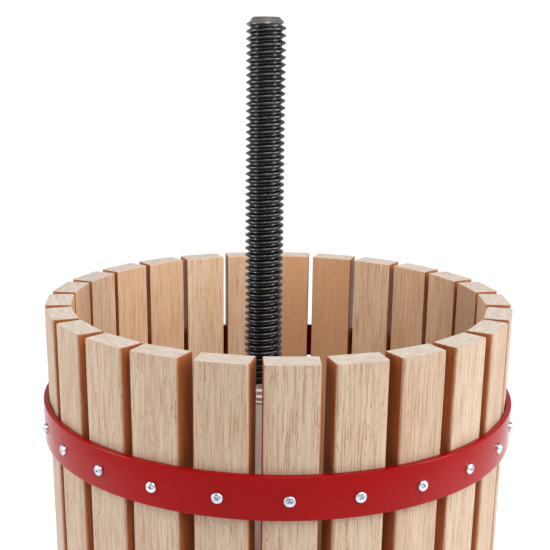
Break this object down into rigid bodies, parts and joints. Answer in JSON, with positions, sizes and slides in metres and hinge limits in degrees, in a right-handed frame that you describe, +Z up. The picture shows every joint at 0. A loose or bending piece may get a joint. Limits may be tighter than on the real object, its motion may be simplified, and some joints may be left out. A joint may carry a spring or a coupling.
{
  "type": "fruit press",
  "caption": "Screw fruit press: slatted wooden basket with steel hoops on a round juice tray with legs, threaded centre spindle, pressing plates and a two-armed nut.",
  "frame": {"origin": "centre of the circle of foot bolt holes, on the floor under the spindle's axis", "axes": "+Z up along the spindle, -Y towards the spout, +X to the right seen from the spout"},
  "size_m": [0.466, 0.551, 0.8526],
  "materials": {
    "slat_wood": "planed oak or beech, oiled, dark pore flecks",
    "plate_wood": "planed hardwood, juice stained",
    "block_wood": "sawn and planed hardwood",
    "grip_wood": "turned and varnished",
    "hoop_paint": "glossy red enamel",
    "base_paint": "glossy red enamel",
    "cast_paint": "red enamel on rough casting",
    "black_thread": "oiled black oxide thread, bright turned shank",
    "bright_steel": "turned bright steel",
    "zinc_steel": "bright zinc plate"
  },
  "bodies": {
    "base": {"tray": "base_paint", "spout": "base_paint", "spider": "cast_paint", "leg_1": "base_paint", "leg_2": "base_paint", "leg_3": "base_paint", "brace_ring": "base_paint", "leg_bolts": "zinc_steel", "brace_bolts": "zinc_steel", "brace_nuts": "zinc_steel", "anchor_nut": "zinc_steel", "anchor_washer": "zinc_steel", "spindle": "black_thread"},
    "basket": {"slat_01": "slat_wood", "slat_02": "slat_wood", "slat_03": "slat_wood", "slat_04": "slat_wood", "slat_05": "slat_wood", "slat_06": "slat_wood", "slat_07": "slat_wood", "slat_08": "slat_wood", "slat_09": "slat_wood", "slat_10": "slat_wood", "slat_11": "slat_wood", "slat_12": "slat_wood", "slat_13": "slat_wood", "slat_14": "slat_wood", "slat_15": "slat_wood", "slat_16": "slat_wood", "slat_17": "slat_wood", "slat_18": "slat_wood", "slat_19": "slat_wood", "slat_20": "slat_wood", "slat_21": "slat_wood", "slat_22": "slat_wood", "slat_23": "slat_wood", "slat_24": "slat_wood", "slat_25": "slat_wood", "hoop_upper": "hoop_paint", "hoop_lower": "hoop_paint", "upper_screws": "zinc_steel", "lower_screws": "zinc_steel"},
    "press_stack": {"plate_front": "plate_wood", "plate_back": "plate_wood", "batten_front": "plate_wood", "batten_back": "plate_wood", "lower_block_left": "block_wood", "lower_block_right": "block_wood", "upper_block_front": "block_wood", "upper_block_back": "block_wood", "batten_screws": "zinc_steel", "thrust_washer": "zinc_steel"},
    "press_nut_body": {"press_nut": "cast_paint", "nut_arm_left": "bright_steel", "nut_arm_right": "bright_steel", "arm_grip_left": "grip_wood", "arm_grip_right": "grip_wood"}
  },
  "joints": [
    {"name": "basket_lift", "type": "slide", "parent": "base", "child": "basket", "axis": [0, 0, 1], "range_m": [0, 0.64]},
    {"name": "press_stroke", "type": "slide", "parent": "base", "child": "press_stack", "axis": [0, 0, 1], "range_m": [0, 0.4401]},
    {"name": "nut_spin", "type": "hinge", "parent": "press_stack", "child": "press_nut_body", "pos_m": [0, 0, 0.38], "axis": [0, 0, 1], "range_deg": [0, 28800]}
  ],
  "couplings": [
    {"joint": "press_stroke", "follows": "nut_spin", "m_per_rad": 0.00087535}
  ]
}
